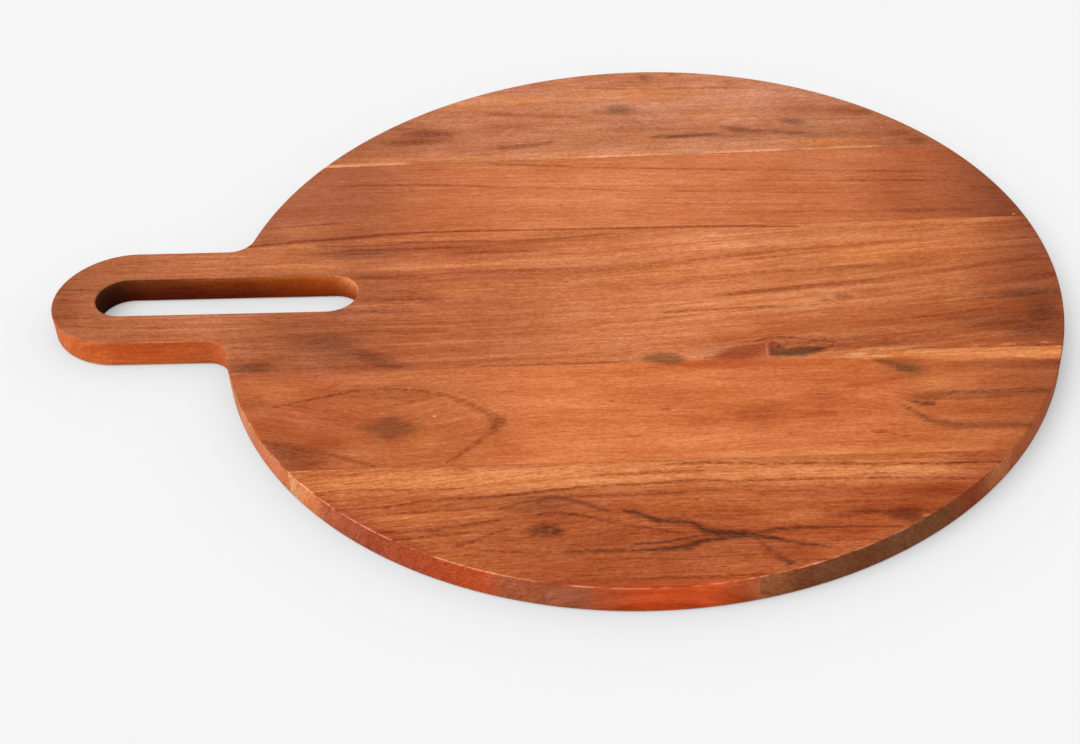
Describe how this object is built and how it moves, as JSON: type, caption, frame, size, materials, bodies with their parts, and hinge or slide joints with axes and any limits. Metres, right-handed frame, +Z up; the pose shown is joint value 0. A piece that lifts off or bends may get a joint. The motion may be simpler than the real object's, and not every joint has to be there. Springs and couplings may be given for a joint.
{
  "type": "pizza serving board",
  "caption": "Round hardwood serving board with a straight slotted handle, edge-glued from long staves, eased on every edge; it lies flat to carry and serve pizza or bread.",
  "frame": {"origin": "centre of the round disc, on the underside that the board rests on", "axes": "+X along the handle's axis, away from the handle; +Y towards the back stave; +Z up, out of the serving face"},
  "size_m": [0.488, 0.4, 0.014],
  "materials": {
    "back_stave_wood": "oiled, smoky blotches and green-black streaks",
    "rear_inner_wood": "oiled, straight fine grain",
    "handle_stave_wood": "oiled, flowing dark streaks and two knots",
    "front_inner_wood": "oiled, smooth orange with an eye knot and a pale sapwood edge",
    "front_stave_wood": "oiled, orange-red with a knot and a filled branching check",
    "front_strip_wood": "oiled, bright orange-red",
    "glue": "cured wood glue, sanded flush"
  },
  "bodies": {
    "root": {"back_stave": "back_stave_wood", "rear_inner_stave": "rear_inner_wood", "handle_stave": "handle_stave_wood", "front_inner_stave": "front_inner_wood", "front_stave": "front_stave_wood", "front_strip": "front_strip_wood", "glue_line_1": "glue", "glue_line_2": "glue", "glue_line_3": "glue", "glue_line_4": "glue", "glue_line_5": "glue"}
  },
  "joints": []
}
